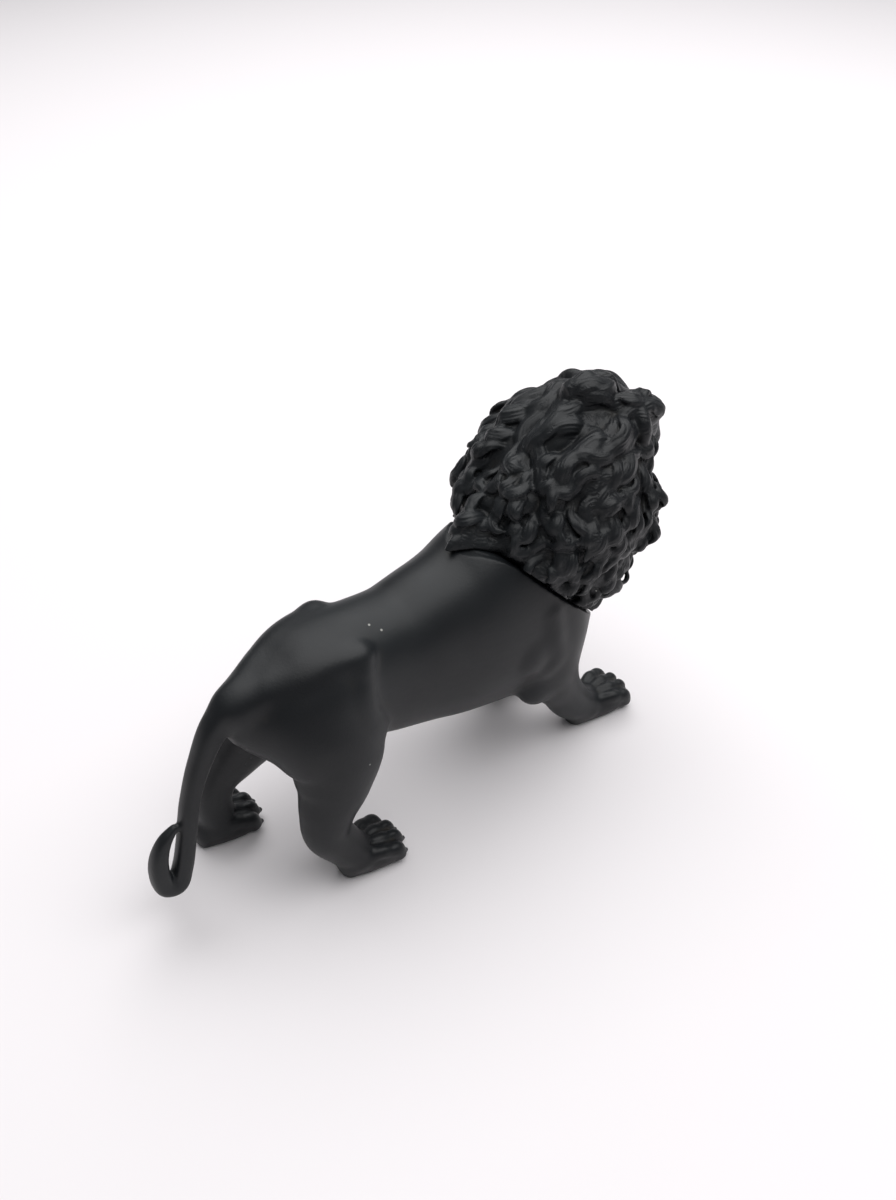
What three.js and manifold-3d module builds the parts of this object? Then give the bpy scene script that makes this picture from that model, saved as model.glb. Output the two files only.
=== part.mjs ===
// Cast iron lion, striding, in two castings: the body with its legs and tail, and the head with its mane.
// Millimetres. While it is built X runs forward, Y to the lion's left and Z up from the floor, with X = 0
// at the right hind paw and Y = 0 on the middle plane. The group then moves the origin to the bottom centre.
import * as THREE from 'three';
import { mergeVertices } from 'three/addons/utils/BufferGeometryUtils.js';
import Module from 'manifold-3d';

const wasm = await Module();
wasm.setup();

// Driving sizes
const hindRightPaw = [1.5, -22.5]; // the middle of each paw, along and across
const hindLeftPaw = [-35, 24];
const foreRightPaw = [126, -17.5];
const foreLeftPaw = [112, 18];
const toeCount = 4;
const toePitch = 5.2;
const tailRadius = 3.4;
const jointGap = 0.3; // between the two castings

const sideways = new THREE.Vector3(0, 1, 0);

const blackIron = { color: 0x15171a, roughness: 0.5, metalness: 0.55 };

// Turns a closed geometry into a solid that can be joined and cut
function solid(geometry) {
  const bare = geometry.index ? geometry.clone() : geometry;
  bare.deleteAttribute('normal');
  bare.deleteAttribute('uv');
  const merged = mergeVertices(bare, 1e-4);
  return new wasm.Manifold(new wasm.Mesh({
    numProp: 3,
    vertProperties: new Float32Array(merged.attributes.position.array),
    triVerts: new Uint32Array(merged.index.array),
  }));
}

function join(solids) {
  return solids.reduce((whole, next) => whole.add(next));
}

// A closed skin over oval sections. A station is [x, y, z, half width, depth one way, depth the other way]:
// the width runs along the side direction and the first depth along travel x side.
function loft(stations, { side = sideways, around = 16, rings = 16, square = 1, domes = [0.6, 0.6] } = {}) {
  const path = new THREE.CatmullRomCurve3(stations.map((s) => new THREE.Vector3(s[0], s[1], s[2])));
  const sizes = new THREE.CatmullRomCurve3(stations.map((s) => new THREE.Vector3(s[3], s[4], s[5])));
  const positions = [];
  const faces = [];

  const addRing = (t, scale, push) => {
    const along = path.getTangent(t).normalize();
    const wide = side.clone().addScaledVector(along, -side.dot(along)).normalize();
    const deep = along.clone().cross(wide);
    const size = sizes.getPoint(t);
    const middle = path.getPoint(t).addScaledVector(along, push * (size.x + size.y + size.z) / 3);
    for (let i = 0; i < around; i += 1) {
      const angle = (2 * Math.PI * i) / around;
      const c = Math.sign(Math.cos(angle)) * Math.abs(Math.cos(angle)) ** square;
      const s = Math.sign(Math.sin(angle)) * Math.abs(Math.sin(angle)) ** square;
      const point = middle.clone()
        .addScaledVector(wide, scale * size.x * c)
        .addScaledVector(deep, scale * (s > 0 ? size.y : size.z) * s);
      positions.push(point.x, point.y, point.z);
    }
    return middle;
  };
  const pole = (t, push) => {
    const size = sizes.getPoint(t);
    const along = path.getTangent(t).normalize();
    return path.getPoint(t).addScaledVector(along, push * (size.x + size.y + size.z) / 3);
  };

  const levels = [];
  const [startDome, endDome] = domes;
  if (startDome > 0) levels.push([0, 0.45, -startDome * 0.89], [0, 0.85, -startDome * 0.53]);
  for (let i = 0; i < rings; i += 1) levels.push([i / (rings - 1), 1, 0]);
  if (endDome > 0) levels.push([1, 0.85, endDome * 0.53], [1, 0.45, endDome * 0.89]);
  levels.forEach(([t, scale, push]) => addRing(t, scale, push));
  const first = positions.length / 3;
  const startPole = pole(0, -startDome);
  const endPole = pole(1, endDome);
  positions.push(startPole.x, startPole.y, startPole.z, endPole.x, endPole.y, endPole.z);

  for (let i = 0; i < around; i += 1) {
    const next = (i + 1) % around;
    for (let level = 0; level + 1 < levels.length; level += 1) {
      const low = level * around;
      const high = low + around;
      faces.push(low + i, low + next, high + i, low + next, high + next, high + i);
    }
    const last = (levels.length - 1) * around;
    faces.push(first, next, i, first + 1, last + i, last + next);
  }
  const geometry = new THREE.BufferGeometry();
  geometry.setAttribute('position', new THREE.Float32BufferAttribute(positions, 3));
  geometry.setIndex(faces);
  return solid(geometry);
}

// An oval lump, turned about Y by pitch degrees and about Z by yaw degrees
function lump(at, radii, { pitch = 0, yaw = 0, across = 12, down = 8 } = {}) {
  const geometry = new THREE.SphereGeometry(1, across, down);
  geometry.rotateX(Math.PI / 2);
  geometry.scale(radii[0], radii[1], radii[2]);
  geometry.rotateY(THREE.MathUtils.degToRad(pitch));
  geometry.rotateZ(THREE.MathUtils.degToRad(yaw));
  geometry.translate(at[0], at[1], at[2]);
  return solid(geometry);
}

// The trunk: deep chest, tucked up belly, rounded croup
function trunk() {
  // x, top, underside, half width
  const sections = [
    [-33, 91, 71, 9],
    [-26, 95.5, 63, 16],
    [-15, 99.5, 56, 20.5],
    [0, 103, 52, 22.5],
    [15, 102.5, 49, 21],
    [30, 102, 43, 21.5],
    [45, 104.5, 38, 23],
    [60, 108, 33, 25],
    [75, 114, 29, 26.5],
    [90, 118, 28, 27],
    [103, 116, 32, 25.5],
    [113, 110, 42, 20],
    [119, 100, 55, 11],
  ].map(([x, top, under, half]) => {
    const middle = under + 0.48 * (top - under);
    return [x, 0, middle, half, top - middle, middle - under];
  });
  return loft(sections, { around: 20, rings: 17, square: 0.9, domes: [0.4, 0.35] });
}

// One paw: a low pad, the toes side by side with raised knuckles, and the heel behind them
function paw([x, y], length) {
  const back = x - length / 2;
  const front = x + length / 2;
  const pad = loft([
    [back + 4, y, 6, 7, 5.5, 8],
    [back + length * 0.4, y, 6, 9, 6, 8],
    [front - length * 0.28, y, 5.5, 10, 6, 8],
    [front - 5, y, 4.5, 9, 4, 7],
  ], { around: 10, rings: 4, domes: [0.5, 0] });
  const toes = [];
  for (let i = 0; i < toeCount; i += 1) {
    const across = i - (toeCount - 1) / 2;
    const reach = front - 1.2 * across * across;
    const toeY = y + across * toePitch;
    toes.push(loft([
      [reach - 15, y + across * toePitch * 0.75, 9, 2.4, 2, 3],
      [reach - 9, toeY, 9.4, 2.9, 2.8, 4],
      [reach - 4, toeY, 7.2, 3.1, 3, 4],
      [reach - 1.2, toeY, 3.6, 2.7, 2.2, 3],
    ], { around: 6, rings: 4, domes: [0, 0.5] }));
  }
  return join([pad, ...toes]);
}

function hindLegRight() {
  const [x, y] = hindRightPaw;
  return join([
    loft([
      [0, -7, 92, 7, 12, 13],
      [-5, -11.5, 80, 12, 17, 18],
      [-7, -14.5, 70, 14, 19, 20],
      [-6, -17, 59, 14, 19, 18],
      [-8.5, -19.5, 48, 12, 13.5, 15.5],
      [-13, -21, 38, 9.5, 9.5, 12],
      [-15, -21.5, 29, 8.2, 9, 9.5],
      [-10, -22, 18, 8, 8, 8.5],
      [x - 6, y, 9, 8.5, 7, 8],
    ], { around: 12, rings: 12, domes: [0, 0.5] }),
    paw(hindRightPaw, 28),
  ]);
}

function hindLegLeft() {
  const [x, y] = hindLeftPaw;
  return join([
    loft([
      [0, 7, 92, 7, 12, 13],
      [-5, 11, 80, 11.5, 17, 17],
      [-10, 13.5, 70, 13, 18, 18],
      [-18, 17, 57, 13, 17, 16],
      [-28, 20, 44, 10.5, 12, 13],
      [-36, 22.5, 33, 8.5, 9, 9.5],
      [-39, 23.5, 22, 8, 8, 8],
      [x - 3, y, 10, 8.5, 7, 8],
    ], { around: 12, rings: 12, domes: [0, 0.5] }),
    paw(hindLeftPaw, 28),
  ]);
}

function foreLeg([x, y], elbowX) {
  const side = Math.sign(y);
  return join([
    loft([
      [94, side * 10, 84, 9, 12, 12],
      [95, side * 12.5, 74, 12.5, 16, 16.5],
      [96, side * 15, 62, 13, 15, 17],
      [(elbowX + 96) / 2, side * 17, 46, 11.5, 14, 14.5],
      [elbowX + 3, side * 17.5, 35, 9.5, 12, 12],
      [(elbowX + x) / 2 - 7, side * 17.5, 25, 8.5, 9.5, 9.5],
      [x - 15, y, 14, 8.5, 8.5, 9],
      [x - 8, y, 8.5, 8.5, 7, 8],
    ], { around: 12, rings: 12, domes: [0, 0.5] }),
    lump([elbowX - 10, side * 20.5, 38], [8.5, 5.8, 7], { pitch: 35, across: 10, down: 6 }),
    paw([x, y], 33),
  ]);
}

// The tail hangs from the croup and ends in a small open curl that turns back and up
function tail() {
  const r = tailRadius;
  const stations = [
    [-18, 0, 88, 8, 7, 7],
    [-30, 0, 90, 7, 6, 6],
    [-40, 0, 83, 5.2, 5, 5],
    [-49, 0, 70, r + 0.6, r + 0.5, r + 0.5],
    [-55, 0, 54, r, r, r],
    [-59, 0, 38, r, r, r],
    [-62.5, 0, 24, r, r, r],
    [-68, 0, 16.5, r * 1.1, r * 1.1, r * 1.1],
    [-73.2, 0, 22.5, r, r, r],
    [-73.2, 0, 33.5, r * 0.85, r * 0.85, r * 0.85],
    [-69, 0, 41.5, r * 0.65, r * 0.65, r * 0.65],
    [-64, 0, 44.5, r * 0.42, r * 0.42, r * 0.42],
  ];
  return loft(stations, { around: 8, rings: 36, domes: [0, 0.6] });
}

// The joint seen from the side, [x, z]: level over the withers, then falling at 45 degrees to the chest
const jointProfile = [
  [20, 101.5],
  [58, 106.8],
  [66, 108.8],
  [72, 106.6],
  [80, 99],
  [93, 85],
  [106, 72],
  [140, 38],
];

// Everything on the mane's side of the joint, moved off the joint by the given height
function maneSide(height) {
  const line = new THREE.SplineCurve(jointProfile.map(([x, z]) => new THREE.Vector2(x, z)));
  const shape = new THREE.Shape(line.getPoints(28));
  shape.lineTo(300, 38);
  shape.lineTo(300, 300);
  shape.lineTo(20, 300);
  shape.closePath();
  const geometry = new THREE.ExtrudeGeometry(shape, { depth: 200, bevelEnabled: false });
  geometry.translate(height * 0.7, height * 0.7, -100);
  geometry.rotateX(Math.PI / 2);
  return solid(geometry);
}

// Level sections of the mane: x, z, reach to the rear, reach to the front, half width
const maneSections = [
  [119, 56, 7, 7, 9],
  [117, 65, 18, 15, 21],
  [113, 78, 28, 24, 29],
  [110, 92, 35, 33, 32.5],
  [109, 107, 38, 36, 33.5],
  [110, 122, 33.5, 33, 32],
  [113, 136, 26.5, 26, 27],
  [117, 147, 18.5, 18, 20],
  [119.5, 154, 10, 10, 11],
];
const maneMiddle = new THREE.CatmullRomCurve3(maneSections.map(([x, z]) => new THREE.Vector3(x, 0, z)));
const maneReach = new THREE.CatmullRomCurve3(
  maneSections.map(([, , rear, front, half]) => new THREE.Vector3(rear, front, half)),
);
const maneRows = 7;
const maneRelief = 4.2; // how far a lock's end stands off the mane
const faceRecess = 9; // how deep the face sits in the ruff

// A place on the mane's base form: level 0 to 1 upwards, angle 0 at the face and growing to the left
function maneSurface(level, angle) {
  const middle = maneMiddle.getPoint(level);
  const reach = maneReach.getPoint(level);
  const forward = Math.cos(angle);
  middle.x += forward * (forward > 0 ? reach.y : reach.x);
  middle.y += Math.sin(angle) * reach.z;
  return middle;
}

// Rows of locks like overlapping tiles: each swells from under the row above to a lip at its own end
function lockHeight(level, angle) {
  const down = (1 - level) * maneRows + 0.12 * Math.sin(5 * angle);
  const row = Math.floor(down);
  const t = down - row;
  const count = Math.round(6 + 10 * Math.sin(Math.PI * Math.min(0.9, (row + 0.6) / maneRows)));
  const turn = (angle * count) / (2 * Math.PI) + 0.5 * (row % 2) + 0.22 * Math.sin(2 * Math.PI * t);
  const across = 2 * (turn - Math.floor(turn)) - 1;
  const round = Math.sqrt(Math.max(0, 1 - across * across));
  const rise = t < 0.82 ? 0.3 + 0.7 * (t / 0.82) : (1 - t) / 0.18;
  return maneRelief * rise * round;
}

// The mane in one skin, with the hollow that the face comes out of
function mane() {
  const around = 54;
  const rings = 28;
  const positions = [];
  const faces = [];
  for (let ring = 0; ring < rings; ring += 1) {
    const level = ring / (rings - 1);
    for (let i = 0; i < around; i += 1) {
      const angle = (2 * Math.PI * i) / around;
      const p = maneSurface(level, angle);
      const toFace = Math.atan2(Math.sin(angle), Math.cos(angle)) / 0.62;
      const facing = Math.exp(-(toFace ** 4)) * Math.exp(-(((p.z - 129) / 17) ** 4));
      const push = lockHeight(level, angle) * (1 - facing) - faceRecess * facing;
      const roof = Math.min(1, Math.max(0, (p.z - 118) / 30));
      const out = new THREE.Vector3(Math.cos(angle), Math.sin(angle), roof).normalize();
      p.addScaledVector(out, push);
      positions.push(p.x, p.y, p.z);
    }
  }
  const [lowX, lowZ] = maneSections[0];
  const [highX, highZ] = maneSections[maneSections.length - 1];
  positions.push(lowX, 0, lowZ, highX, 0, highZ + 4);
  const first = rings * around;
  for (let i = 0; i < around; i += 1) {
    const next = (i + 1) % around;
    for (let ring = 0; ring + 1 < rings; ring += 1) {
      const low = ring * around;
      const high = low + around;
      faces.push(low + i, low + next, high + i, low + next, high + next, high + i);
    }
    const last = first - around;
    faces.push(first, next, i, first + 1, last + i, last + next);
  }
  const geometry = new THREE.BufferGeometry();
  geometry.setAttribute('position', new THREE.Float32BufferAttribute(positions, 3));
  geometry.setIndex(faces);
  return solid(geometry);
}

// The pointed lock that lies back along the withers
function withersLock() {
  return loft([
    [84, 0, 112, 17, 12, 10],
    [76, 0, 110, 13, 8, 8],
    [68, 0, 109.5, 8, 5, 6],
    [61, 0, 108.5, 3.5, 2.6, 5],
    [57.5, 0, 107.5, 1, 1, 3],
  ], { around: 10, rings: 8, domes: [0, 0.3] });
}

// An upright cupped ear, open to the front
function ear(side) {
  const at = [133, side * 14.5, 142];
  const flap = lump(at, [3.2, 8.2, 9.2], { yaw: side * 14, across: 12, down: 8 });
  const cup = lump([at[0] + 4.2, at[1], at[2] + 0.8], [4, 5.2, 6.2], { yaw: side * 14, across: 10, down: 6 });
  return flap.subtract(cup);
}

function head() {
  const skull = lump([129, 0, 131.5], [19.5, 19, 18], { across: 14, down: 8 });
  const muzzle = loft([
    [134, 0, 131, 15, 12, 14],
    [143, 0, 129.5, 12, 11, 12],
    [151, 0, 127.5, 10.6, 8.6, 9.5],
    [156, 0, 126.5, 7.5, 6, 8],
  ], { around: 12, rings: 6, domes: [0, 0.3] });
  const jaw = loft([
    [130, 0, 116, 11, 7, 9],
    [142, 0, 114, 8.5, 5, 6],
    [150, 0, 113.5, 6, 4, 4.5],
  ], { around: 10, rings: 4, domes: [0, 0.5] });
  const nose = lump([158, 0, 130], [3.4, 5.2, 3.4], { across: 10, down: 6 });
  const paired = [1, -1].flatMap((side) => [
    lump([141, side * 9, 140], [7, 7, 4.4], { pitch: 25, across: 10, down: 6 }),
    lump([144.5, side * 11, 134.5], [3, 3, 2.4], { across: 8, down: 6 }),
    lump([151.5, side * 6, 123.5], [7, 6.4, 6], { across: 10, down: 8 }),
    ear(side),
  ]);
  const mouth = lump([157, 0, 117.3], [11, 12, 1.3], { across: 10, down: 4 });
  return join([skull, muzzle, jaw, nose, ...paired]).subtract(mouth);
}

const body = join([
  trunk(),
  hindLegRight(),
  hindLegLeft(),
  foreLeg(foreRightPaw, 96),
  foreLeg(foreLeftPaw, 91),
  tail(),
]);

const lion = new THREE.Group();

function addCasting(name, shape) {
  const { vertProperties, triVerts } = shape.getMesh();
  const geometry = new THREE.BufferGeometry();
  geometry.setAttribute('position', new THREE.BufferAttribute(vertProperties, 3));
  geometry.setIndex(new THREE.BufferAttribute(triVerts, 1));
  geometry.computeVertexNormals();
  const mesh = new THREE.Mesh(geometry, new THREE.MeshStandardMaterial(blackIron));
  mesh.name = name;
  lion.add(mesh);
}

const floor = new THREE.BoxGeometry(600, 600, 600);
floor.translate(0, 0, 300);
const aboveFloor = solid(floor);

addCasting('body', body.subtract(maneSide(-jointGap / 2)).intersect(aboveFloor));
const headAndMane = join([mane(), withersLock(), head()]);
addCasting('head_and_mane', headAndMane.intersect(maneSide(jointGap / 2)));

const extent = new THREE.Box3().setFromObject(lion);
const centre = extent.getCenter(new THREE.Vector3());
lion.position.set(-centre.x, -centre.y, -extent.min.z);

export default lion;
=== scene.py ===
import math

import bpy
import numpy as np
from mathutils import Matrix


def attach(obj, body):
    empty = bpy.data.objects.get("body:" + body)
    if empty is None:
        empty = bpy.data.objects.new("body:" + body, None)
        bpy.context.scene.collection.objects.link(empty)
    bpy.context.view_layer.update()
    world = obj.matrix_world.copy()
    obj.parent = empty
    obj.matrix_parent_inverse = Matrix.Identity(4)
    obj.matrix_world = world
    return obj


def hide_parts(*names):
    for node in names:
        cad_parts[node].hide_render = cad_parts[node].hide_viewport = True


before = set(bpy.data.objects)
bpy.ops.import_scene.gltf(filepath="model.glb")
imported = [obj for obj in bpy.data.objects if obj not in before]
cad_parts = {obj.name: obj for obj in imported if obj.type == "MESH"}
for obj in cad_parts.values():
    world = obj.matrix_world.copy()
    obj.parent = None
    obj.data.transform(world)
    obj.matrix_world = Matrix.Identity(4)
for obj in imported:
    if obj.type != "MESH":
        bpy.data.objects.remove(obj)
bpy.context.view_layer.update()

import openvdb
from mathutils import Euler, Vector, kdtree

# The sculpting is done in millimetres: X forward, Y to the lion's left, Z up, the floor at 0,
# the right hind paw near X = 0. rowShift takes it to the bottom centre of the whole figure.
rowShift = np.array([-42.158, -0.059, 0.0])
metre = 0.001

body = {
    "hindRightPaw": (1.5, -22.5),
    "hindLeftPaw": (-35.0, 24.0),
    "foreRightPaw": (126.0, -17.5),
    "foreLeftPaw": (112.0, 18.0),
    "toePitch": 5.3,
    "tailRadius": 3.4,
    "grain": 0.6,
    "faces": 190000,
}

mane = {
    "grain": 0.5,
    "inset": 1.6,
    "spacing": 5.2,
    "seed": 11,
    "faces": 195000,
}

joint = {
    "gap": 0.3,
    "groove": 0.55,
    "grooveDepth": 1.6,
}


# ---- curves and clay ----

class Curve:
    # A smooth curve through points of any width, t from 0 to 1
    def __init__(self, points):
        p = np.array(points, dtype=float)
        p = np.vstack([2 * p[0] - p[1], p, 2 * p[-1] - p[-2]])
        step = np.maximum(((p[1:] - p[:-1]) ** 2).sum(1) ** 0.25, 1e-3)
        pieces = []
        for i in range(1, len(p) - 2):
            a, b, c = step[i - 1], step[i], step[i + 1]
            leave = ((p[i] - p[i - 1]) / a - (p[i + 1] - p[i - 1]) / (a + b) + (p[i + 1] - p[i]) / b) * b
            arrive = ((p[i + 1] - p[i]) / b - (p[i + 2] - p[i]) / (b + c) + (p[i + 2] - p[i + 1]) / c) * b
            span = p[i + 1] - p[i]
            pieces.append((p[i], leave, 3 * span - 2 * leave - arrive, leave + arrive - 2 * span))
        self.pieces = np.array(pieces)

    def at(self, t):
        t = np.clip(np.atleast_1d(np.asarray(t, dtype=float)), 0, 1) * len(self.pieces)
        i = np.minimum(t.astype(int), len(self.pieces) - 1)
        w = (t - i)[:, None]
        c = self.pieces[i]
        return c[:, 0] + w * (c[:, 1] + w * (c[:, 2] + w * c[:, 3]))

    def along(self, t):
        t = np.asarray(t, dtype=float)
        step = self.at(np.minimum(t + 1e-4, 1)) - self.at(np.maximum(t - 1e-4, 0))
        return step / np.linalg.norm(step, axis=1)[:, None]


def softMin(a, b, soft):
    if soft <= 0:
        return np.minimum(a, b)
    near = np.maximum(soft - np.abs(a - b), 0) / soft
    return np.minimum(a, b) - near * near * soft * 0.25


class Clay:
    # A block of clay: distances to the surface on a regular grid, negative inside
    def __init__(self, low, high, grain, reach):
        self.low = np.array(low, dtype=float)
        self.grain = grain
        self.reach = reach
        count = np.ceil((np.array(high) - self.low) / grain).astype(int) + 1
        self.field = np.full(count, reach, dtype=np.float32)

    def patch(self, low, high, margin):
        first = np.floor((np.array(low) - margin - self.low) / self.grain).astype(int)
        last = np.ceil((np.array(high) + margin - self.low) / self.grain).astype(int) + 1
        first = np.clip(first, 0, self.field.shape)
        last = np.clip(last, first, self.field.shape)
        part = tuple(slice(a, b) for a, b in zip(first, last))
        axes = [self.low[i] + self.grain * np.arange(first[i], last[i]) for i in range(3)]
        grids = np.ix_(*[a.astype(np.float32) for a in axes])
        return part, first, grids

    def measure(self, shape, margin=None):
        part, first, grids = self.patch(shape.low, shape.high, self.reach if margin is None else margin)
        return part, shape.distance(self, first, grids)

    def add(self, shape, soft=0.0):
        part, d = self.measure(shape, max(soft, self.grain * 2))
        self.field[part] = softMin(self.field[part], d, soft)

    def cut(self, shape, soft=0.0):
        part, d = self.measure(shape, max(soft, self.grain * 2))
        self.field[part] = -softMin(-self.field[part], d, soft)

    def smooth(self, times):
        f = self.field
        for _ in range(times):
            for axis in range(3):
                mid = [slice(None)] * 3
                before, after = list(mid), list(mid)
                mid[axis], before[axis], after[axis] = slice(1, -1), slice(None, -2), slice(2, None)
                mid, before, after = tuple(mid), tuple(before), tuple(after)
                g = f.copy()
                g[mid] = 0.5 * f[mid] + 0.25 * (f[before] + f[after])
                f = g
        return f

    def sample(self, points, field=None):
        f = self.field if field is None else field
        q = (np.asarray(points) - self.low) / self.grain
        q = np.clip(q, 0, np.array(f.shape) - 1.001)
        i = q.astype(int)
        w = q - i
        total = 0
        for corner in range(8):
            a, b, c = corner & 1, corner >> 1 & 1, corner >> 2
            weight = (
                (w[:, 0] if a else 1 - w[:, 0])
                * (w[:, 1] if b else 1 - w[:, 1])
                * (w[:, 2] if c else 1 - w[:, 2])
            )
            total = total + weight * f[i[:, 0] + a, i[:, 1] + b, i[:, 2] + c]
        return total

    def slope(self, points, step=1.0):
        parts = []
        for axis in range(3):
            shift = np.zeros(3)
            shift[axis] = step
            parts.append(self.sample(points + shift) - self.sample(points - shift))
        n = np.stack(parts, axis=1)
        return n / np.maximum(np.linalg.norm(n, axis=1), 1e-6)[:, None]


class Lump:
    # An oval, turned about Y by pitch and about Z by yaw, in degrees
    def __init__(self, at, radii, pitch=0, yaw=0, roll=0):
        self.at = np.array(at, dtype=float)
        self.radii = radii
        self.turn = Euler((math.radians(roll), math.radians(pitch), math.radians(yaw))).to_matrix()
        self.low = self.at - max(radii)
        self.high = self.at + max(radii)

    def distance(self, clay, first, grids):
        x, y, z = [g - np.float32(a) for g, a in zip(grids, self.at)]
        near, far = 0, 0
        for i, r in enumerate(self.radii):
            u = self.turn[0][i] * x + self.turn[1][i] * y + self.turn[2][i] * z
            near = near + (u / r) ** 2
            far = far + (u / (r * r)) ** 2
        near = np.sqrt(near)
        return near * (near - 1) / np.maximum(np.sqrt(far), 1e-5)


class Strand:
    # A round cord through points (x, y, z, radius)
    def __init__(self, points, beads=5):
        self.line = Curve(points).at(np.linspace(0, 1, beads * (len(points) - 1) + 1))
        widest = self.line[:, 3].max()
        self.low = self.line[:, :3].min(0) - widest
        self.high = self.line[:, :3].max(0) + widest

    def distance(self, clay, first, grids):
        x, y, z = grids
        best = None
        for a, b in zip(self.line[:-1], self.line[1:]):
            v = (b - a).astype(np.float32)
            length = max(float(v[0] ** 2 + v[1] ** 2 + v[2] ** 2), 1e-6)
            px, py, pz = x - np.float32(a[0]), y - np.float32(a[1]), z - np.float32(a[2])
            t = np.clip((px * v[0] + py * v[1] + pz * v[2]) / length, 0, 1)
            d = np.sqrt((px - t * v[0]) ** 2 + (py - t * v[1]) ** 2 + (pz - t * v[2]) ** 2)
            d = d - (np.float32(a[3]) + t * v[3])
            best = d if best is None else np.minimum(best, d)
        return best


class Skin:
    # A closed mesh as clay
    def __init__(self, points, quads, triangles):
        self.points = np.asarray(points, dtype=float)
        self.quads = np.asarray(quads, dtype=np.uint32).reshape(-1, 4)
        self.triangles = np.asarray(triangles, dtype=np.uint32).reshape(-1, 3)
        self.low = self.points.min(0)
        self.high = self.points.max(0)

    def distance(self, clay, first, grids):
        shape = tuple(g.size for g in grids)
        inGrid = ((self.points - clay.low) / clay.grain - first).astype(np.float32)
        level = openvdb.FloatGrid.createLevelSetFromPolygons(
            inGrid,
            triangles=self.triangles,
            quads=self.quads,
            transform=openvdb.createLinearTransform(voxelSize=1.0),
            halfWidth=float(clay.reach / clay.grain),
        )
        out = np.empty(shape, dtype=np.float32)
        level.copyToArray(out, ijk=(0, 0, 0))
        return out * np.float32(clay.grain)


def gridSkin(rings, startPole, endPole):
    # rings: (levels, around, 3)
    levels, around, _ = rings.shape
    points = np.vstack([rings.reshape(-1, 3), [startPole, endPole]])
    i = np.arange(around)
    j = (i + 1) % around
    quads = []
    for level in range(levels - 1):
        low = level * around
        quads.append(np.stack([low + i, low + j, low + around + j, low + around + i], axis=1))
    last = (levels - 1) * around
    first = levels * around
    triangles = np.vstack([
        np.stack([np.full(around, first), j, i], axis=1),
        np.stack([np.full(around, first + 1), last + i, last + j], axis=1),
    ])
    return Skin(points, np.vstack(quads), triangles)


def loft(stations, side=(0, 1, 0), around=40, rings=70, square=1.0, domes=(0.6, 0.6)):
    # A station is (x, y, z, half width, depth one way, depth the other way)
    stations = np.array(stations, dtype=float)
    path = Curve(stations[:, :3])
    sizes = Curve(stations[:, 3:])
    t = np.linspace(0, 1, rings)
    scale, push = np.ones(rings), np.zeros(rings)
    for end, dome in zip((0, 1), domes):
        if dome <= 0:
            continue
        a = np.radians(np.linspace(12, 84, 7))
        capScale, capPush = np.cos(a), np.sin(a) * dome
        if end == 0:
            t = np.concatenate([np.zeros(7), t])
            scale = np.concatenate([capScale[::-1], scale])
            push = np.concatenate([-capPush[::-1], push])
        else:
            t = np.concatenate([t, np.ones(7)])
            scale = np.concatenate([scale, capScale])
            push = np.concatenate([push, capPush])
    size = sizes.at(t)
    along = path.along(t)
    middle = path.at(t) + along * (push * size.mean(1))[:, None]
    side = np.array(side, dtype=float)
    wide = side - along * (along @ side)[:, None]
    wide /= np.linalg.norm(wide, axis=1)[:, None]
    deep = np.cross(along, wide)
    angle = np.linspace(0, 2 * math.pi, around, endpoint=False)
    c = np.sign(np.cos(angle)) * np.abs(np.cos(angle)) ** square
    s = np.sign(np.sin(angle)) * np.abs(np.sin(angle)) ** square
    depth = np.where(s[None, :] > 0, size[:, 1:2], size[:, 2:3])
    ring = (
        middle[:, None, :]
        + wide[:, None, :] * (scale[:, None] * size[:, 0:1] * c[None, :])[:, :, None]
        + deep[:, None, :] * (scale[:, None] * depth * s[None, :])[:, :, None]
    )
    ends = []
    for k, dome in zip((0, -1), domes):
        outward = along[k] * (dome * size[k].mean()) * (-1 if k == 0 else 1)
        ends.append(path.at([0.0 if k == 0 else 1.0])[0] + outward)
    return gridSkin(ring, ends[0], ends[1])


def mirrored(at, side):
    return (at[0], at[1] * side, at[2])


def keepLargest(points, quads, triangles):
    # Drops loose crumbs and sealed bubbles
    edges = np.vstack([quads[:, [0, 1]], quads[:, [1, 2]], quads[:, [2, 3]], triangles[:, [0, 1]], triangles[:, [1, 2]]])
    edges = edges.astype(np.int64)
    label = np.arange(len(points))
    while True:
        low = np.minimum(label[edges[:, 0]], label[edges[:, 1]])
        before = label.copy()
        np.minimum.at(label, edges[:, 0], low)
        np.minimum.at(label, edges[:, 1], low)
        label = label[label]
        if (label == before).all():
            break
    names, counts = np.unique(label, return_counts=True)
    keep = label == names[counts.argmax()]
    fresh = np.cumsum(keep) - 1
    quads = fresh[quads[keep[quads[:, 0]]].astype(np.int64)]
    triangles = fresh[triangles[keep[triangles[:, 0]]].astype(np.int64)]
    return points[keep], quads, triangles, len(names) - 1


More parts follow.
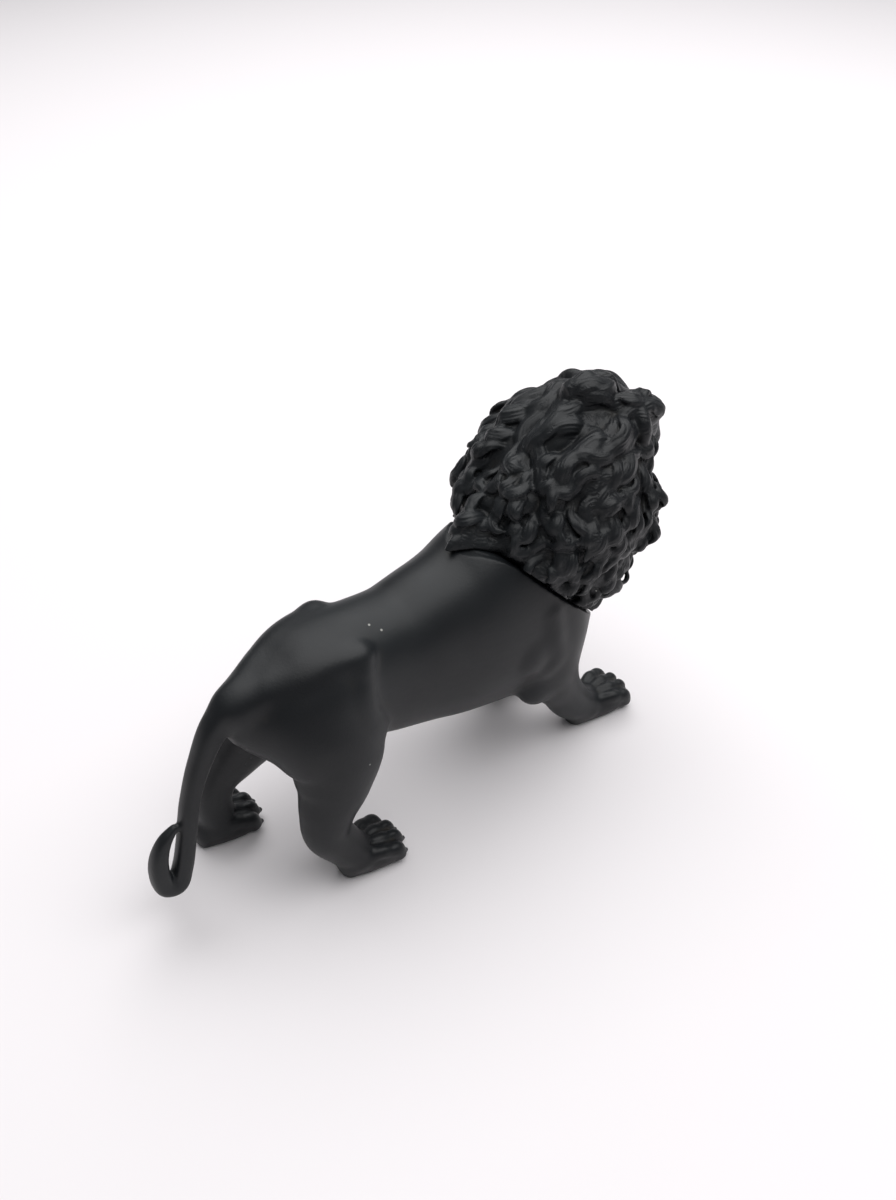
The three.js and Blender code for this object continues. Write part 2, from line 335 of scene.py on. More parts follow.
def bake(clay, name, faces):
    # The clay's surface as a mesh in metres in the row frame, thinned to the given number of faces
    grid = openvdb.FloatGrid(float(clay.reach))
    grid.copyFromArray(clay.field)
    points, triangles, quads = grid.convertToPolygons(isovalue=0.0, adaptivity=0.0)
    points, quads, triangles, crumbs = keepLargest(points.astype(float), quads, triangles)
    points = clay.low + points * clay.grain
    a, b, c, d = (points[quads[:, k]] for k in range(4))
    volume = np.einsum("ij,ij->i", np.cross(a - c, b - d), (a + c) / 2).sum()
    if volume < 0:
        quads, triangles = quads[:, ::-1], triangles[:, ::-1]
    mesh = bpy.data.meshes.new(name)
    mesh.vertices.add(len(points))
    mesh.vertices.foreach_set("co", ((points + rowShift) * metre).ravel())
    corners = np.concatenate([quads.ravel(), triangles.ravel()])
    mesh.loops.add(len(corners))
    mesh.loops.foreach_set("vertex_index", corners.astype(np.int32))
    starts = np.concatenate([
        np.arange(len(quads)) * 4,
        len(quads) * 4 + np.arange(len(triangles)) * 3,
    ])
    mesh.polygons.add(len(starts))
    mesh.polygons.foreach_set("loop_start", starts.astype(np.int32))
    mesh.update(calc_edges=True)
    obj = bpy.data.objects.new(name, mesh)
    bpy.context.scene.collection.objects.link(obj)
    have = len(quads) * 2 + len(triangles)
    if have > faces:
        thin = obj.modifiers.new("thin", "DECIMATE")
        thin.ratio = faces / have
        thin.use_collapse_triangulate = True
        graph = bpy.context.evaluated_depsgraph_get()
        slim = bpy.data.meshes.new_from_object(obj.evaluated_get(graph))
        obj.modifiers.clear()
        obj.data = slim
    obj.data.name = name
    obj.data.shade_smooth()
    print(name, "faces", have, "to", len(obj.data.polygons), "crumbs", crumbs, "volume", round(abs(volume) / 6000, 1), "cm3")
    return obj


def vertexArray(obj):
    out = np.empty(len(obj.data.vertices) * 3)
    obj.data.vertices.foreach_get("co", out)
    return out.reshape(-1, 3) / metre - rowShift


def addValue(obj, name, values):
    attribute = obj.data.attributes.new(name, "FLOAT", "POINT")
    attribute.data.foreach_set("value", np.asarray(values, dtype=np.float32))


# ---- node helpers ----

class Wire:
    # A socket that can be added, multiplied and so on; each step becomes a Math node
    def __init__(self, tree, socket):
        self.tree = tree
        self.socket = socket

    def math(self, operation, *others, clamp=False):
        made = self.tree.nodes.new("ShaderNodeMath")
        made.operation = operation
        made.use_clamp = clamp
        for place, value in zip(made.inputs, (self, *others)):
            if isinstance(value, Wire):
                self.tree.links.new(value.socket, place)
            else:
                place.default_value = value
        return Wire(self.tree, made.outputs[0])

    def flipped(self, operation, first):
        made = self.math(operation, 0.0).socket.node
        self.tree.links.remove(made.inputs[0].links[0])
        made.inputs[0].default_value = first
        self.tree.links.new(self.socket, made.inputs[1])
        return Wire(self.tree, made.outputs[0])

    def __add__(self, other):
        return self.math("ADD", other)

    def __sub__(self, other):
        return self.math("SUBTRACT", other)

    def __mul__(self, other):
        return self.math("MULTIPLY", other)

    def __truediv__(self, other):
        return self.math("DIVIDE", other)

    def __pow__(self, other):
        return self.math("POWER", other)

    def __rsub__(self, other):
        return self.flipped("SUBTRACT", other)

    def __rtruediv__(self, other):
        return self.flipped("DIVIDE", other)

    __radd__ = __add__
    __rmul__ = __mul__

    def ramp(self, low, high):
        # 0 below low, 1 above high, smooth between
        made = self.tree.nodes.new("ShaderNodeMapRange")
        made.interpolation_type = "SMOOTHSTEP"
        made.inputs["From Min"].default_value = low
        made.inputs["From Max"].default_value = high
        self.tree.links.new(self.socket, made.inputs["Value"])
        return Wire(self.tree, made.outputs["Result"])


class Nodes:
    def __init__(self, tree):
        self.tree = tree

    def add(self, kind, settings=None, inputs=None, out=0):
        made = self.tree.nodes.new(kind)
        for key, value in (settings or {}).items():
            setattr(made, key, value)
        for key, value in (inputs or {}).items():
            place = made.inputs[key]
            if isinstance(value, Wire):
                self.tree.links.new(value.socket, place)
            else:
                place.default_value = value
        return Wire(self.tree, made.outputs[out])


# ---- the joint between the two castings ----

jointProfile = [
    (20, 114),
    (50, 112),
    (57, 108.6),
    (66, 108.8),
    (72, 106.6),
    (80, 99),
    (93, 85),
    (106, 72),
    (140, 38),
]


def jointHeight(grids):
    # Distance above the joint, positive on the mane's side, the same for every Y
    x, y, z = grids
    line = Curve(jointProfile).at(np.linspace(0, 1, 57))
    px, pz = np.meshgrid(x.ravel(), z.ravel(), indexing="ij")
    best = np.full(px.shape, 1e9)
    for (ax, az), (bx, bz) in zip(line[:-1], line[1:]):
        vx, vz = bx - ax, bz - az
        t = np.clip(((px - ax) * vx + (pz - az) * vz) / (vx * vx + vz * vz), 0, 1)
        best = np.minimum(best, (px - ax - t * vx) ** 2 + (pz - az - t * vz) ** 2)
    above = np.where((px > line[0, 0]) & (pz > np.interp(px, line[:, 0], line[:, 1])), 1.0, -1.0)
    return (np.sqrt(best) * above)[:, None, :].astype(np.float32)


# ---- the body ----

def trunkForm():
    sections = [
        (-33, 91, 71, 9),
        (-26, 95.5, 63, 16),
        (-15, 99.5, 56, 20.5),
        (0, 103, 52, 22.5),
        (15, 102.5, 49, 21),
        (30, 102, 43, 21.5),
        (45, 104.5, 38, 23),
        (60, 108, 33, 25),
        (75, 114, 29, 26.5),
        (90, 118, 28, 27),
        (103, 116, 32, 25.5),
        (113, 110, 42, 20),
        (119, 100, 55, 11),
    ]
    stations = []
    for x, top, under, half in sections:
        middle = under + 0.48 * (top - under)
        stations.append((x, 0, middle, half, top - middle, middle - under))
    return loft(stations, around=64, rings=80, square=0.9, domes=(0.4, 0.35))


def addPaw(clay, at, length):
    x, y = at
    back, front = x - length / 2, x + length / 2
    clay.add(loft([
        (back + 4, y, 6.5, 6.0, 6, 9),
        (back + length * 0.35, y, 6.5, 8.4, 6.5, 9),
        (back + length * 0.62, y, 6, 9.8, 6.5, 9),
        (front - 6.5, y, 5, 9.4, 5, 8),
    ], rings=24, domes=(0.6, 0.6)), 3)
    pitch = body["toePitch"]
    for i in range(4):
        across = i - 1.5
        reach = front - 1.2 * across * across
        toeY = y + across * pitch
        # the toe: a first knuckle, a dip, a second knuckle, then the round end
        clay.add(Strand([
            (reach - 17, y + across * pitch * 0.6, 9.8, 2.0),
            (reach - 10.5, y + across * pitch * 0.92, 10.3, 2.7),
            (reach - 7.2, toeY, 9.0, 2.6),
            (reach - 4.4, toeY, 7.8, 3.2),
            (reach - 3.1, toeY, 4.4, 3.1),
        ]), 1.6)
        # the claw's nub at the end of the toe
        clay.add(Lump((reach - 0.3, toeY, 3.4), (1.9, 1.0, 1.4), pitch=32), 0.6)
    for i in range(3):
        across = i - 1
        reach = front - 0.5 - across * across
        # the cleft between two toes, running back into a tendon groove
        clay.cut(Strand([
            (reach - 22, y + across * pitch * 0.45, 16.5, 0.5),
            (reach - 16, y + across * pitch * 0.62, 13.2, 0.5),
            (reach - 9, y + across * pitch * 0.95, 12.6, 0.7),
            (reach - 4.8, y + across * pitch, 10.6, 0.8),
            (reach - 1.4, y + across * pitch, 7.2, 0.9),
            (reach + 0.4, y + across * pitch, 3.0, 0.9),
        ]), 0.9)


def addHindLegRight(clay):
    x, y = body["hindRightPaw"]
    clay.add(loft([
        (0, -7, 92, 7, 12, 13),
        (-5, -11.5, 80, 12, 17, 18),
        (-7, -14.5, 70, 14, 19, 20),
        (-6, -17, 59, 14, 19, 18),
        (-8.5, -19.5, 48, 12, 13.5, 15.5),
        (-13, -21, 38, 9.5, 9.5, 12),
        (-15, -21.5, 29, 8.2, 9, 9.5),
        (-10, -22, 18, 8, 8, 8.5),
        (x - 6, y, 9, 8.5, 7, 8),
    ]), 6)


def addHindLegLeft(clay):
    x, y = body["hindLeftPaw"]
    clay.add(loft([
        (0, 7, 92, 7, 12, 13),
        (-5, 11, 80, 11.5, 17, 17),
        (-10, 13.5, 70, 13, 18, 18),
        (-18, 17, 57, 13, 17, 16),
        (-28, 20, 44, 10.5, 12, 13),
        (-36, 22.5, 33, 8.5, 9, 9.5),
        (-39, 23.5, 22, 8, 8, 8),
        (x - 3, y, 10, 8.5, 7, 8),
    ]), 6)


def addForeLeg(clay, at, elbowX):
    x, y = at
    side = math.copysign(1, y)
    clay.add(loft([
        (94, side * 10, 84, 9, 12, 12),
        (95, side * 12.5, 74, 12.5, 16, 16.5),
        (96, side * 15, 62, 13, 15, 17),
        ((elbowX + 96) / 2, side * 17, 46, 11.5, 14, 14.5),
        (elbowX + 3, side * 17.5, 35, 9.5, 12, 12),
        ((elbowX + x) / 2 - 7, side * 17.5, 25, 8.5, 9.5, 9.5),
        (x - 15, y, 14, 8.5, 8.5, 9),
        (x - 8, y, 8.5, 8.5, 7, 8),
    ]), 6)
    # the point of the elbow and the fold over the forearm
    clay.add(Lump((elbowX - 10, side * 20.5, 38), (8.5, 5.8, 7), pitch=35), 3)


def addTail(clay):
    r = body["tailRadius"]
    clay.add(loft([
        (-18, 0, 88, 7, 7, 7),
        (-30, 0, 89, 5.6, 6, 6),
        (-40, 0, 83, 4.7, 5, 5),
        (-48.5, 0, 70, r + 0.4, r + 0.4, r + 0.4),
        (-55, 0, 54, r, r, r),
        (-59, 0, 38, r, r, r),
        (-62.8, 0, 24.5, r * 1.05, r * 1.05, r * 1.05),
        (-66.4, 0, 17.4, r * 1.12, r * 1.1, r * 1.1),
        (-70.4, 0, 19.4, r * 1.15, r * 1.1, r * 1.1),
        (-71.4, 0, 27.5, r * 1.1, r * 1.05, r * 1.05),
        (-70, 0, 35.5, r * 0.95, r * 0.92, r * 0.92),
        (-66.5, 0, 42, r * 0.72, r * 0.7, r * 0.7),
        (-62, 0, 45.8, r * 0.42, r * 0.42, r * 0.42),
    ], around=32, rings=180, square=0.72, domes=(0, 0.6)), 2.5)


def sculptBody():
    clay = Clay((-84, -40, -3), (150, 40, 126), body["grain"], 9.0)
    clay.add(trunkForm())
    # the flat of the croup running out into the tail
    clay.add(Strand([(-6, 0, 94, 7), (-20, 0, 90.5, 6), (-36, 0, 84.5, 4.6)]), 6)
    addHindLegRight(clay)
    addHindLegLeft(clay)
    addForeLeg(clay, body["foreRightPaw"], 96)
    addForeLeg(clay, body["foreLeftPaw"], 91)
    for side in (-1, 1):
        # the edge of the croup, the hip bone, and the front edge of the thigh
        clay.add(Strand([
            (8, side * 13.5, 95.2, 4.2),
            (-6, side * 11, 95.4, 4.2),
            (-20, side * 6.5, 92.6, 4.5),
            (-34, side * 2.5, 87.6, 4.2),
        ]), 5)
        clay.add(Lump((8, side * 14.8, 96), (4.6, 3.4, 3.4)), 4)
        clay.add(Strand([
            (7, side * 17.6, 91, 2.8),
            (5.6, side * 19.6, 84, 3.2),
            (5.6, side * 20.4, 76, 3.4),
            (9.5, side * 19.6, 66, 3.2),
        ]), 5)
        # the rear edge of the shoulder and the muscle behind the upper arm
        clay.add(Strand([
            (88, side * 24.4, 80, 2.6),
            (89, side * 25.4, 68, 3.2),
            (90, side * 24.6, 58, 3.2),
            (86, side * 23.8, 53, 2.6),
        ]), 5)
        clay.add(Lump((80, side * 24, 62), (5, 3.6, 7), pitch=12), 5)
    clay.field = clay.smooth(4)
    addTail(clay)
    addPaw(clay, body["hindRightPaw"], 28)
    addPaw(clay, body["hindLeftPaw"], 28)
    addPaw(clay, body["foreRightPaw"], 33)
    addPaw(clay, body["foreLeftPaw"], 33)
    # the floor flattens the soles
    part, first, grids = clay.patch(clay.low, clay.low + 1e6, 0)
    whole = clay.smooth(1)
    whole = np.maximum(whole, -grids[2])
    above = jointHeight(grids)
    skin = whole
    whole = np.maximum(whole, above + joint["gap"] / 2)
    groove = np.maximum(np.abs(above) - joint["groove"], -(skin + joint["grooveDepth"]))
    whole = np.maximum(whole, -groove)
    clay.field = whole.astype(np.float32)
    return clay


# ---- the head and mane ----

maneSections = [
    (119, 56, 6, 2.5, 7),
    (117, 65, 17, 5, 16.5),
    (113, 78, 27, 13, 25.5),
    (110, 92, 34, 27, 32.5),
    (109, 107, 36.5, 37, 36),
    (110, 122, 31, 35.5, 34.5),
    (113.5, 136, 22.5, 27, 27.5),
    (118.5, 147, 13.5, 17, 17),
    (121.5, 154, 6.5, 9, 8.5),
]


def maneForm(inset):
    middle = Curve([(x, 0, z) for x, z, *_ in maneSections])
    reach = Curve([s[2:] for s in maneSections])
    level = np.linspace(0, 1, 60)
    angle = np.linspace(0, 2 * math.pi, 90, endpoint=False)
    m, r = middle.at(level), reach.at(level)
    forward = np.cos(angle)[None, :]
    points = np.repeat(m[:, None, :], len(angle), axis=1)
    points[:, :, 0] += forward * np.where(forward > 0, r[:, 1:2], r[:, 0:1])
    points[:, :, 1] += np.sin(angle)[None, :] * r[:, 2:3]
    toFace = np.arctan2(np.sin(angle), np.cos(angle))[None, :] / 0.62
    z = points[:, :, 2]
    facing = np.exp(-(toFace ** 4)) * np.exp(-(((z - 129) / 17) ** 4))
    push = -inset * (1 - facing) - 9.0 * facing
    roof = np.clip((z - 118) / 30, 0, 1)
    out = np.stack([np.cos(angle)[None, :] + 0 * z, np.sin(angle)[None, :] + 0 * z, roof], axis=2)
    out /= np.linalg.norm(out, axis=2)[:, :, None]
    points += out * push[:, :, None]
    return gridSkin(points, (119, 0, 56), (119.5, 0, 158 - inset))


def withersForm(shrink):
    return loft([
        (84, 0, 112, 17 - shrink, 12 - shrink, 10),
        (76, 0, 110, 13 - shrink, 8 - shrink, 8),
        (68, 0, 109.5, 8 - shrink, 5 - shrink * 0.7, 6),
        (61, 0, 108.5, 3.5 - shrink * 0.4, 2.6 - shrink * 0.3, 5),
        (57.5, 0, 107.5, 1, 1, 3),
    ], domes=(0, 0.3))


def addHead(clay):
    clay.add(Lump((129, 0, 132), (19.5, 19, 18)), 3)
    clay.add(loft([
        (134, 0, 132, 14, 13, 15),
        (143, 0, 131, 11.5, 11, 12),
        (151, 0, 128.5, 10, 8.6, 9.5),
        (156, 0, 127, 7.2, 6, 8),
    ], rings=30, domes=(0, 0.3)), 3)
    clay.add(loft([
        (130, 0, 116, 11, 7, 9),
        (142, 0, 114, 8.5, 5, 6),
        (149.5, 0, 113.8, 5.6, 4, 4.5),
    ], rings=24, domes=(0, 0.5)), 2)
    # the nose pad, with its wings and nostrils
    clay.add(Lump((157.6, 0, 130.6), (3.0, 4.8, 3.0)), 1.2)
    for side in (-1, 1):
        clay.add(Lump((156.8, side * 3.6, 129.8), (2.4, 2.2, 2.2)), 1)
        clay.cut(Lump((159.6, side * 2.9, 129.0), (1.9, 1.3, 1.0), yaw=side * 35), 0.5)
        # brow, cheek bone, and the pad of the whiskers
        clay.add(Lump((143, side * 7.5, 141.8), (6, 7, 5), pitch=22), 3)
        clay.add(Lump((143, side * 11, 134.0), (6, 4.6, 7)), 3)
        clay.add(Lump((151.5, side * 5.2, 124), (6.2, 5.4, 5.6)), 1.6)
        # the eye under the brow
        clay.cut(Lump((150.2, side * 8.6, 136.8), (3.6, 4.2, 2.8), yaw=side * 30), 1.2)
        clay.add(Lump((147.0, side * 8.4, 136.4), (3.0, 3.2, 2.7)), 0.4)
    clay.cut(Strand([(161, 0, 127.5, 0.5), (160, 0, 124, 0.6), (158, 0, 120, 0.6)]), 0.6)
    clay.cut(Lump((157, 0, 117.6), (11, 12, 1.2)), 0.8)


def addEars(clay):
    for side in (-1, 1):
        at = (132, side * 16.5, 141)
        clay.add(Lump(at, (4.2, 8.2, 9), yaw=side * 14, roll=side * 20), 1.2)
        clay.cut(Lump((at[0] + 4.6, at[1], at[2] + 0.6), (4, 5.2, 6.2), yaw=side * 14, roll=side * 20), 0.8)


faceMiddle = np.array([148.0, 0.0, 128.0])


def flowAt(p):
    away = p - faceMiddle
    away /= np.linalg.norm(away, axis=1)[:, None]
    down = np.array([-0.35, 0.0, -0.9])
    lowly = np.clip((150 - p[:, 2]) / 40, 0, 1)[:, None]
    return away * (1.2 - 0.7 * lowly) + down * (0.15 + 0.9 * lowly)


# the two sizes of locks: big clumps first, then the curls that lie on them
clumps = {
    "spacing": 10.5,
    "length": (14, 22),
    "width": (4.2, 6.2),
    "curl": (0.3, 1.2),
    "lift": (-0.6, 1.8),
    "astray": 0.9,
}

curls = {
    "spacing": 4.9,
    "length": (9, 17),
    "width": (2.0, 3.5),
    "curl": (0.5, 2.3),
    "lift": (0.5, 2.8),
    "astray": 1.3,
}


def plantLocks(form, kind, rng):
    low, high = np.array([56, -40, 50]), np.array([150, 40, 164])
    spots = low + rng.random((500000, 3)) * (high - low)
    spots = spots[np.abs(form.sample(spots)) < 0.8]
    toFace = spots - np.array([150, 0, 127])
    ring = np.sqrt((toFace[:, 1] / 17) ** 2 + (toFace[:, 2] / 19) ** 2)
    inFace = (spots[:, 0] > 128) & (ring < 1)
    onWithers = (spots[:, 0] < 82) & (spots[:, 2] > 100) & (spots[:, 2] < 118)
    line = Curve(jointProfile).at(np.linspace(0, 1, 57))
    over = spots[:, 2] - np.interp(spots[:, 0], line[:, 0], line[:, 1])
    spots = spots[~inFace & ~onWithers & (over > -2)]
    kept = np.empty((0, 3))
    for s in spots:
        space = kind["spacing"] * (1.0 + 0.5 * smoothStep(s[2], 126, 146))
        if len(kept) == 0 or ((kept - s) ** 2).sum(1).min() > space ** 2:
            kept = np.vstack([kept, s])
    return kept


def smoothStep(value, low, high):
    t = np.clip((value - low) / (high - low), 0, 1)
    return t * t * (3 - 2 * t)


def growLocks(form, roots, kind, rng, steps=20):
    n = len(roots)

    def pick(name):
        low, high = kind[name]
        return low + (high - low) * rng.random(n)

    # towards the crown the locks grow long, smooth and flat
    crown = smoothStep(roots[:, 2], 130, 150)
    length = pick("length") * (1 + 0.8 * crown)
    width = pick("width") * (1 + 0.35 * crown)
    turn = np.where(rng.random(n) < 0.5, -1.0, 1.0)
    curl = turn * pick("curl") * (1 - 0.75 * crown)
    sway = 0.3 + 0.4 * rng.random(n)
    phase = rng.random(n) * 2 * math.pi
    astray = (rng.random(n) - 0.5) * kind["astray"] * (1 - 0.7 * crown)
    lift = pick("lift") * (1 - 0.62 * crown)
    tip = 0.60 + 0.26 * rng.random(n)
    p = roots.copy()
    path, normals, radii = [], [], []
    for k in range(steps):
        t = k / (steps - 1)
        normal = form.slope(p)
        flow = flowAt(p)
        flow -= normal * (flow * normal).sum(1)[:, None]
        flow /= np.maximum(np.linalg.norm(flow, axis=1), 1e-6)[:, None]
        across = np.cross(normal, flow)
        angle = astray + sway * np.sin(phase + 5.0 * t) + curl * t ** 1.8
        heading = flow * np.cos(angle)[:, None] + across * np.sin(angle)[:, None]
        height = -1.5 + (lift + 1.5) * np.sin(math.pi * (0.08 + tip * t)) ** 0.8
        p = p - normal * (form.sample(p) - height)[:, None]
        path.append(p)
        normals.append(normal)
        swell = math.sin(math.pi * min(1, 0.12 + t * 0.70)) ** 0.8
        radii.append(width * (0.25 + 0.75 * swell) * (1 - 0.78 * t ** 5))
        p = p + heading * (length / steps)[:, None]
    return np.stack(path, 1), np.stack(normals, 1), np.stack(radii, 1)


def lockTree(iron):
    tree = bpy.data.node_groups.new("locks", "GeometryNodeTree")
    face = tree.interface
    face.new_socket("Guides", in_out="INPUT", socket_type="NodeSocketGeometry")
    face.new_socket("Sides", in_out="INPUT", socket_type="NodeSocketInt")
    face.new_socket("Flatness", in_out="INPUT", socket_type="NodeSocketFloat")
    face.new_socket("Flute", in_out="INPUT", socket_type="NodeSocketFloat")
    face.new_socket("Iron", in_out="INPUT", socket_type="NodeSocketMaterial")
    face.new_socket("Locks", in_out="OUTPUT", socket_type="NodeSocketGeometry")
    nodes = Nodes(tree)
    given = tree.nodes.new("NodeGroupInput")
    wire = {s.name: Wire(tree, s) for s in given.outputs if s.name}
    outward = nodes.add("GeometryNodeInputNamedAttribute", {"data_type": "FLOAT_VECTOR"}, {"Name": "outward"})
    halfWidth = nodes.add("GeometryNodeInputNamedAttribute", {"data_type": "FLOAT"}, {"Name": "halfWidth"})
    curves = nodes.add("GeometryNodeMeshToCurve", inputs={"Mesh": wire["Guides"]})
    curves = nodes.add("GeometryNodeSetCurveNormal", {"mode": "FREE"}, {"Curve": curves, "Normal": outward})
    circle = nodes.add("GeometryNodeCurvePrimitiveCircle", inputs={"Resolution": wire["Sides"], "Radius": 1.0})
    # the section of a lock: a flat oval drawn up to a crest, with ridges along it
    place = nodes.add("GeometryNodeInputPosition")
    split = nodes.add("ShaderNodeSeparateXYZ", inputs={"Vector": place}).socket.node
    px, py = Wire(tree, split.outputs["X"]), Wire(tree, split.outputs["Y"])
    ridges = (py * 7.2).math("COSINE") * wire["Flute"] + 1.15 - py.math("ABSOLUTE") * 0.4
    shaped = nodes.add("ShaderNodeCombineXYZ", inputs={"X": px * wire["Flatness"] * ridges, "Y": py})
    section = nodes.add("GeometryNodeSetPosition", inputs={"Geometry": circle, "Position": shaped})
    locks = nodes.add("GeometryNodeCurveToMesh", inputs={
        "Curve": curves, "Profile Curve": section, "Scale": halfWidth, "Fill Caps": True,
    })
    locks = nodes.add("GeometryNodeRealizeInstances", inputs={"Geometry": locks})
    locks = nodes.add("GeometryNodeSetMaterial", inputs={"Geometry": locks, "Material": wire["Iron"]})
    result = tree.nodes.new("NodeGroupOutput")
    tree.links.new(locks.socket, result.inputs["Locks"])
    return tree


def sweepLocks(path, normals, radii, iron, flatness, flute):
    count, steps, _ = path.shape
    guides = bpy.data.meshes.new("guides")
    index = np.arange(count * steps).reshape(count, steps)
    edges = np.stack([index[:, :-1].ravel(), index[:, 1:].ravel()], axis=1)
    guides.from_pydata(path.reshape(-1, 3).tolist(), edges.tolist(), [])
    outward = guides.attributes.new("outward", "FLOAT_VECTOR", "POINT")
    outward.data.foreach_set("vector", normals.reshape(-1).astype(np.float32))
    wide = guides.attributes.new("halfWidth", "FLOAT", "POINT")
    wide.data.foreach_set("value", radii.reshape(-1).astype(np.float32))
    obj = bpy.data.objects.new("guides", guides)
    bpy.context.scene.collection.objects.link(obj)
    tree = lockTree(iron)
    modifier = obj.modifiers.new("locks", "NODES")
    modifier.node_group = tree
    values = {"Sides": 18, "Flatness": flatness, "Flute": flute, "Iron": iron}
    for item in tree.interface.items_tree:
        if item.in_out == "INPUT" and item.name in values:
            modifier[item.identifier] = values[item.name]
    graph = bpy.context.evaluated_depsgraph_get()
    swept = bpy.data.meshes.new_from_object(obj.evaluated_get(graph))
    bpy.data.objects.remove(obj)
    points = np.empty(len(swept.vertices) * 3)
    swept.vertices.foreach_get("co", points)
    swept.calc_loop_triangles()
    triangles = np.empty(len(swept.loop_triangles) * 3, dtype=np.int32)
    swept.loop_triangles.foreach_get("vertices", triangles)
    return Skin(points.reshape(-1, 3), np.empty((0, 4)), triangles.reshape(-1, 3))


withersStrands = [
    [(92, -3, 119, 5.0), (82, -1.5, 115, 4.6), (72, 0, 112, 3.7), (64, 0.5, 110, 2.6), (58.8, 0, 108.6, 1.5)],
    [(94, -17, 111, 5.0), (84, -13, 110, 4.6), (75, -8.5, 109.5, 3.6), (67, -4, 109, 2.4), (61, -1.5, 108.6, 1.3)],
    [(94, 17, 111, 5.0), (84, 13, 110, 4.6), (75, 8.5, 109.5, 3.6), (67, 4, 109, 2.4), (61, 1.5, 108.6, 1.3)],
    [(92, -23, 103, 4.0), (84, -19, 104, 3.6), (78, -13.5, 106.5, 2.6), (75, -10, 108.5, 1.4)],
    [(92, 23, 103, 4.0), (84, 19, 104, 3.6), (78, 13.5, 106.5, 2.6), (75, 10, 108.5, 1.4)],
]


def sculptMane(iron):
    rng = np.random.default_rng(mane["seed"])
    clay = Clay((52, -44, 36), (168, 44, 166), mane["grain"], 6.0)
    clay.add(maneForm(mane["inset"]))
    clay.add(withersForm(2.0), 3)
    addHead(clay)
    form = Clay(clay.low, clay.low + 1, mane["grain"], 6.0)
    form.field = clay.smooth(3)
    addEars(clay)
    roots = plantLocks(form, clumps, rng)
    path, normals, radii = growLocks(form, roots, clumps, rng)
    big = sweepLocks(path, normals, radii, iron, 0.55, 0.05)
    clay.add(big, 1.6)
    form.add(big, 2.2)
    for strand in withersStrands:
        clay.add(Strand(strand), 1.4)
        form.add(Strand(strand), 2.2)
    form.field = form.smooth(2)
    roots = plantLocks(form, curls, rng)
    path, normals, radii = growLocks(form, roots, curls, rng)
    print("curls", len(roots))
    clay.add(sweepLocks(path, normals, radii, iron, 0.46, 0.14), 0.8)
    whole = clay.smooth(1)
    part, first, grids = clay.patch(clay.low, clay.low + 1e6, 0)
    above = jointHeight(grids)
    whole = np.maximum(whole, joint["gap"] / 2 - above)
    neck = np.full(whole.shape, 6.0, dtype=np.float32)
    holder = Clay(clay.low, clay.low + 1, mane["grain"], 6.0)
    holder.field = neck
    holder.add(trunkForm())
    groove = np.maximum(np.abs(above) - joint["groove"], -(holder.field + joint["grooveDepth"]))
    whole = np.maximum(whole, -groove)
    clay.field = whole.astype(np.float32)
    return clay, path, normals, radii


# ---- materials ----

def ironMaterial(name, strands):
    material = bpy.data.materials.new(name)
    material.use_nodes = True
    tree = material.node_tree
    tree.nodes.clear()
    nodes = Nodes(tree)
    place = nodes.add("ShaderNodeTexCoord", out="Object")

    def noise(scale, detail, roughness=0.5):
        return nodes.add("ShaderNodeTexNoise", inputs={
            "Vector": place, "Scale": scale, "Detail": detail, "Roughness": roughness,
        })

    def blend(factor, a, b):
        return nodes.add(
            "ShaderNodeMix", {"data_type": "RGBA"},
            {"Factor": factor, 6: a, 7: b}, out=2,
        )

    def value(name):
        return nodes.add("ShaderNodeAttribute", {"attribute_name": name}, out="Fac")

    broad = noise(22.0, 2.0).ramp(0.3, 0.7)
    fine = noise(900.0, 3.0, 0.6)
    colour = blend(broad, (0.0075, 0.0083, 0.0098, 1), (0.0115, 0.0132, 0.0150, 1))
    hollow = value("hollow")
    patches = noise(140.0, 3.0).ramp(0.42, 0.72)
    colour = blend(hollow * patches * 0.55, colour, (0.050, 0.043, 0.032, 1))
    speck = nodes.add("ShaderNodeTexVoronoi", inputs={"Vector": place, "Scale": 95.0}, out="Distance")
    seldom = noise(60.0, 0.0).ramp(0.60, 0.64)
    colour = blend((1.0 - speck.ramp(0.03, 0.05)) * seldom, colour, (0.30, 0.30, 0.28, 1))
    roughness = noise(70.0, 4.0) * 0.16 + 0.36 + hollow * 0.15
    height = fine * 0.5 + noise(2600.0, 2.0) * 0.3
    if strands:
        height = height + (value("strand") * 4.6).math("SINE") * noise(260.0, 1.0).ramp(0.35, 0.7) * 0.8
    bump = nodes.add("ShaderNodeBump", inputs={"Strength": 0.35, "Distance": 0.00025, "Height": height})
    surface = nodes.add("ShaderNodeBsdfPrincipled", inputs={
        "Base Color": colour, "Roughness": roughness, "Normal": bump, "IOR": 1.36,
    })
    out = tree.nodes.new("ShaderNodeOutputMaterial")
    tree.links.new(surface.socket, out.inputs["Surface"])
    return material


# ---- build ----

ironBody = ironMaterial("black_iron_body", False)
ironMane = ironMaterial("black_iron_mane", True)

print("stage: body")
bodyClay = sculptBody()
bodyPiece = bake(bodyClay, "body_casting", body["faces"])
spots = vertexArray(bodyPiece)
soft = bodyClay.smooth(10)
addValue(bodyPiece, "hollow", np.clip(-bodyClay.sample(spots, soft) * 2.0, 0, 1))
bodyPiece.data.materials.append(ironBody)
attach(bodyPiece, "root")
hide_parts("body")

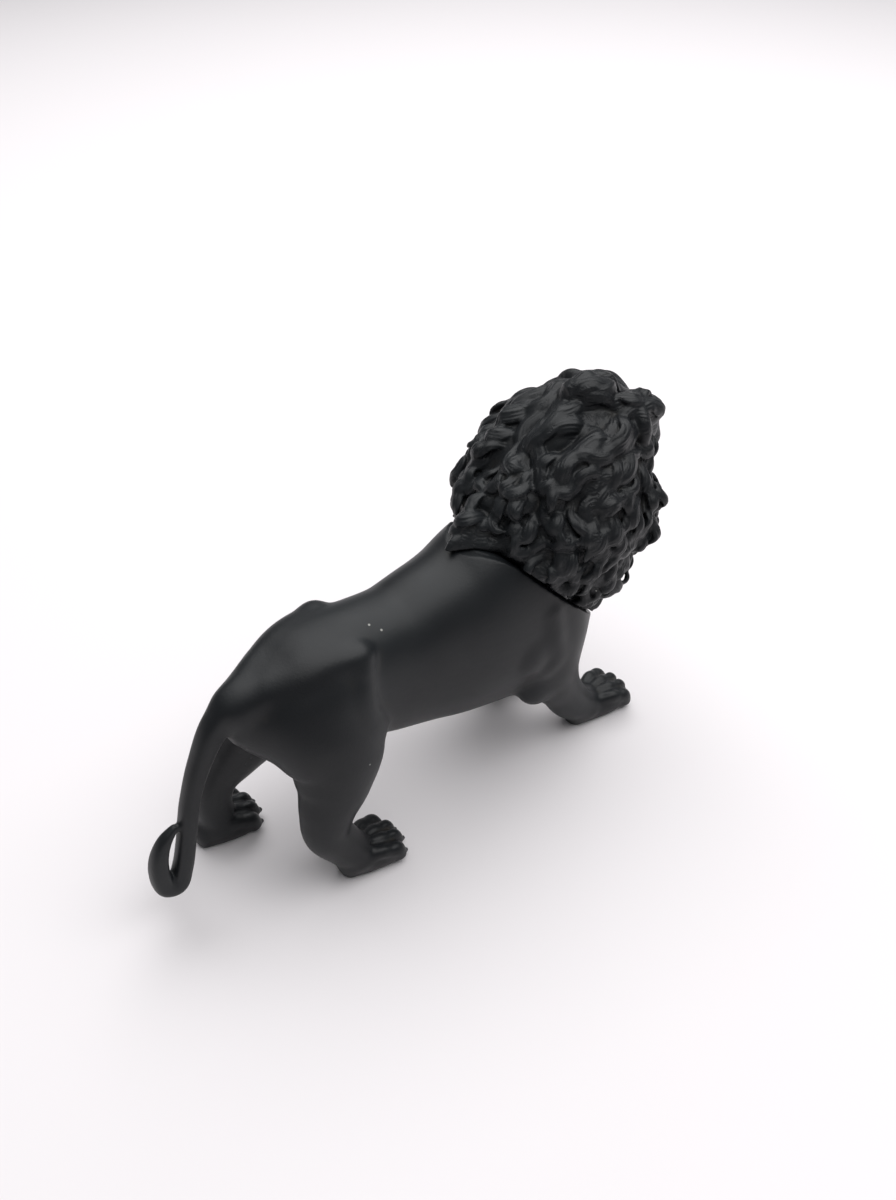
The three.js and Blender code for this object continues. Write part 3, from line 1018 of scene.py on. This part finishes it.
print("stage: mane")
maneClay, path, normals, radii = sculptMane(ironMane)
manePiece = bake(maneClay, "head_and_mane_casting", mane["faces"])
spots = vertexArray(manePiece)
soft = maneClay.smooth(14)
addValue(manePiece, "hollow", np.clip(-maneClay.sample(spots, soft) * 1.2, 0, 1))
tree = kdtree.KDTree(path.shape[0] * path.shape[1])
flat = path.reshape(-1, 3)
for i, p in enumerate(flat):
    tree.insert(p, i)
tree.balance()
tangent = np.gradient(path, axis=1)
sideways = np.cross(normals, tangent).reshape(-1, 3)
sideways /= np.maximum(np.linalg.norm(sideways, axis=1), 1e-6)[:, None]
nearest = np.array([tree.find(p)[1] for p in spots])
across = ((spots - flat[nearest]) * sideways[nearest]).sum(1)
addValue(manePiece, "strand", across)
manePiece.data.materials.append(ironMane)
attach(manePiece, "root")
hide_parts("head_and_mane")

# ---- floor, light, camera ----

print("stage: studio")
floorMesh = bpy.data.meshes.new("floor")
floorMesh.from_pydata([(-4, -3, 0), (4, -3, 0), (4, 6, 0), (-4, 6, 0)], [], [(0, 1, 2, 3)])
floor = bpy.data.objects.new("floor", floorMesh)
bpy.context.scene.collection.objects.link(floor)
paper = bpy.data.materials.new("paper")
paper.use_nodes = True
paper.node_tree.nodes["Principled BSDF"].inputs["Base Color"].default_value = (0.80, 0.77, 0.785, 1)
paper.node_tree.nodes["Principled BSDF"].inputs["Roughness"].default_value = 0.9
paper.node_tree.nodes["Principled BSDF"].inputs["Specular IOR Level"].default_value = 0.1
floorMesh.materials.append(paper)


def areaLight(name, at, target, size, power, colour):
    data = bpy.data.lights.new(name, "AREA")
    data.shape = "RECTANGLE"
    data.size, data.size_y = size
    data.energy = power
    data.color = colour
    lamp = bpy.data.objects.new(name, data)
    lamp.location = at
    lamp.rotation_euler = (Vector(target) - Vector(at)).to_track_quat("-Z", "Y").to_euler()
    bpy.context.scene.collection.objects.link(lamp)
    return lamp


areaLight("overhead", (0.5, 0.25, 1.3), (0.5, 0.25, 0), (2.1, 2.6), 46.0, (1.0, 1.0, 1.0))

world = bpy.data.worlds.new("studio")
world.use_nodes = True
world.node_tree.nodes["Background"].inputs["Color"].default_value = (0.93, 0.97, 1.0, 1)
world.node_tree.nodes["Background"].inputs["Strength"].default_value = 0.12
bpy.context.scene.world = world
bpy.context.scene.view_settings.view_transform = "Standard"

cameraData = bpy.data.cameras.new("camera")
cameraData.lens = 32.4
cameraData.sensor_width = 36.0
camera = bpy.data.objects.new("camera", cameraData)
camera.location = (np.array([-133.63, -242.67, 345.0]) + rowShift) * metre
heading, pitch = math.atan2(0.7852, 0.6193), math.radians(40)
camera.rotation_euler = (math.radians(90) - pitch, 0, heading - math.radians(90))
bpy.context.scene.collection.objects.link(camera)
bpy.context.scene.camera = camera
